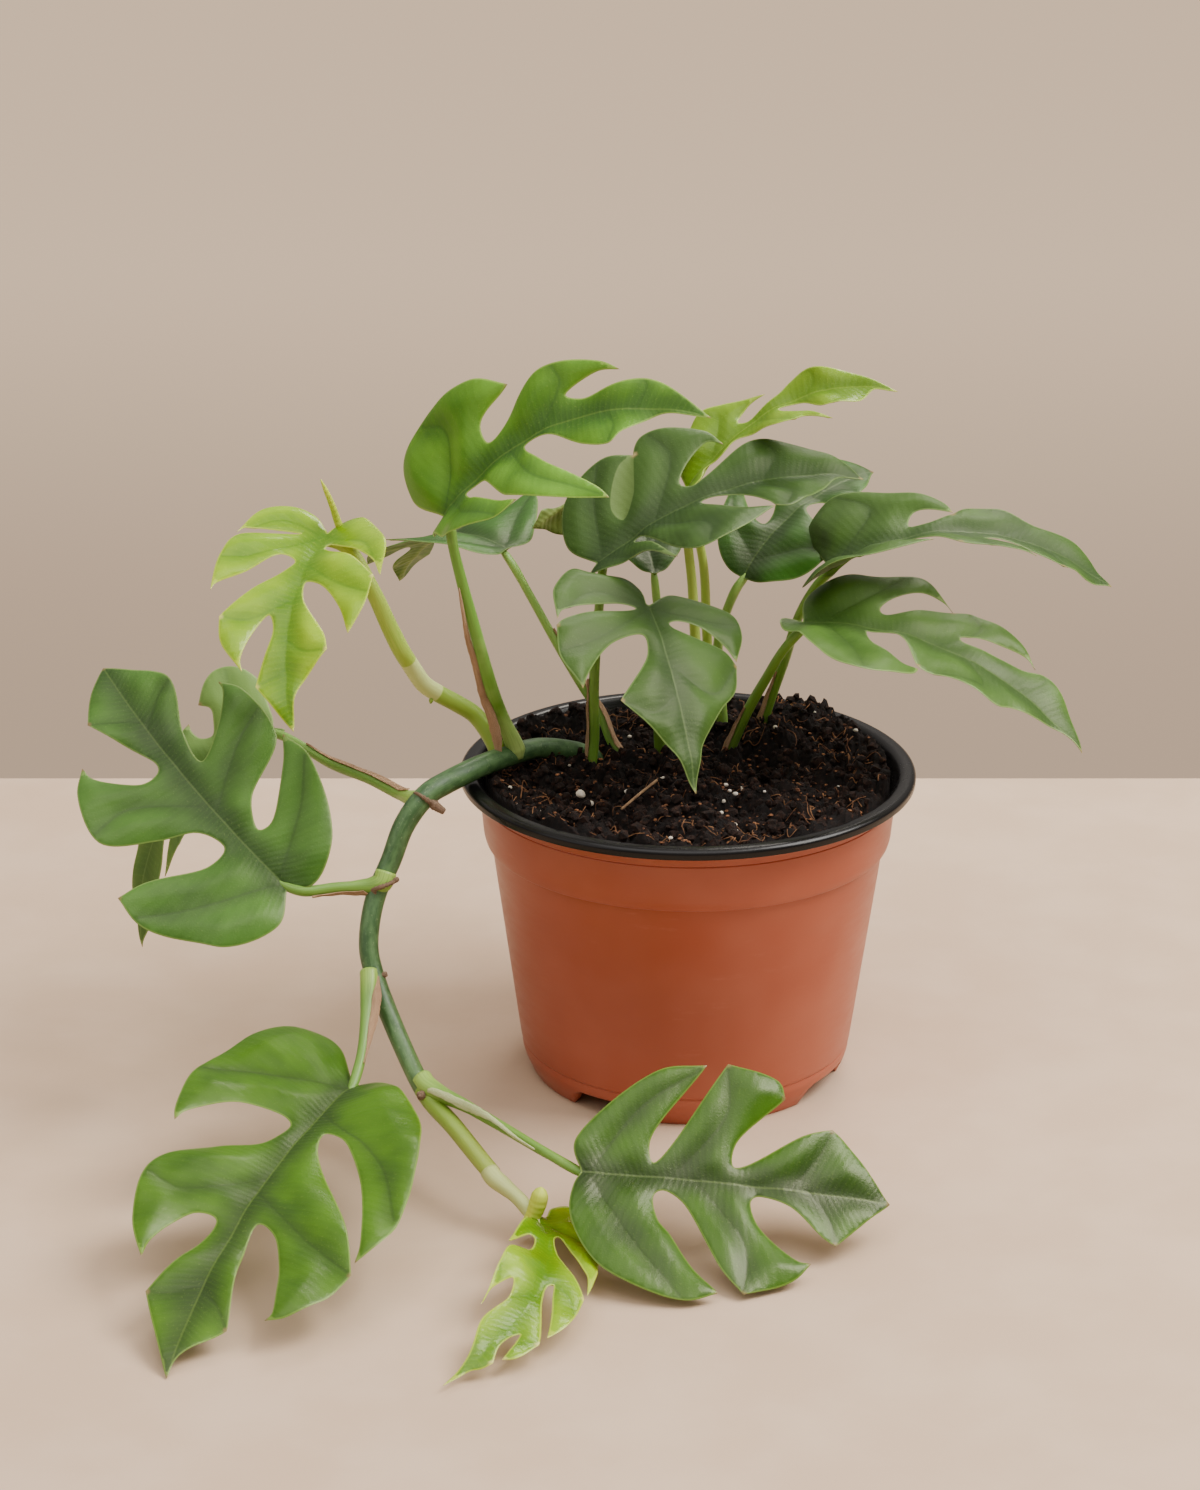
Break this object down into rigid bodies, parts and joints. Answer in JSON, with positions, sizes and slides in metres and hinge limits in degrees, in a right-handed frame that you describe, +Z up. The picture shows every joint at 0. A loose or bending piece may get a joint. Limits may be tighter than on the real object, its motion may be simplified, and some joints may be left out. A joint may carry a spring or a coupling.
{
  "type": "mini monstera houseplant in nursery pot",
  "caption": "Potted trailing aroid with split, fingered leaves on upright stalks and one vine that hangs over the rim of a round plastic nursery pot",
  "frame": {"origin": "centre of the pot foot, on the surface that the pot stands on", "axes": "+Z up along the pot axis; -Y is the front, towards which the trailing vine comes; the vine hangs on the -X side"},
  "size_m": [0.3366, 0.313, 0.2483],
  "materials": {
    "leaf_bright": "satin, waxy",
    "leaf_green": "satin, waxy",
    "leaf_dark": "satin, waxy",
    "leaf_young": "satin, soft new leaf",
    "vine_green": "smooth green stem",
    "sheath_brown": "dry, papery",
    "sheath_pale": "soft, translucent",
    "pot_terracotta": "satin",
    "pot_black": "satin",
    "soil": "rough, moist compost"
  },
  "bodies": {
    "root": {"pot_shell": "pot_terracotta", "pot_lining": "pot_black", "soil": "soil", "vine": "vine_green", "leaf_tall_left": "leaf_bright", "leaf_middle": "leaf_green", "leaf_front": "leaf_green", "leaf_upper_right": "leaf_green", "leaf_lower_right": "leaf_green", "leaf_back_right": "leaf_dark", "leaf_young_top": "leaf_young", "leaf_back_left": "leaf_dark", "leaf_behind": "leaf_dark", "leaf_pale_back": "leaf_young", "leaf_vine_back": "leaf_green", "leaf_vine_upper": "leaf_green", "leaf_vine_lower_left": "leaf_green", "leaf_vine_lower_right": "leaf_green", "leaf_young_left": "leaf_young", "leaf_young_low": "leaf_young", "sheath_tall_left": "sheath_brown", "sheath_middle": "sheath_brown", "sheath_upper_right": "sheath_brown", "sheath_lower_right": "sheath_brown", "sheath_back_left": "sheath_brown", "sheath_vine_back": "sheath_brown", "sheath_vine_lower_left": "sheath_brown", "sheath_vine_lower_right": "sheath_pale"}
  },
  "joints": []
}
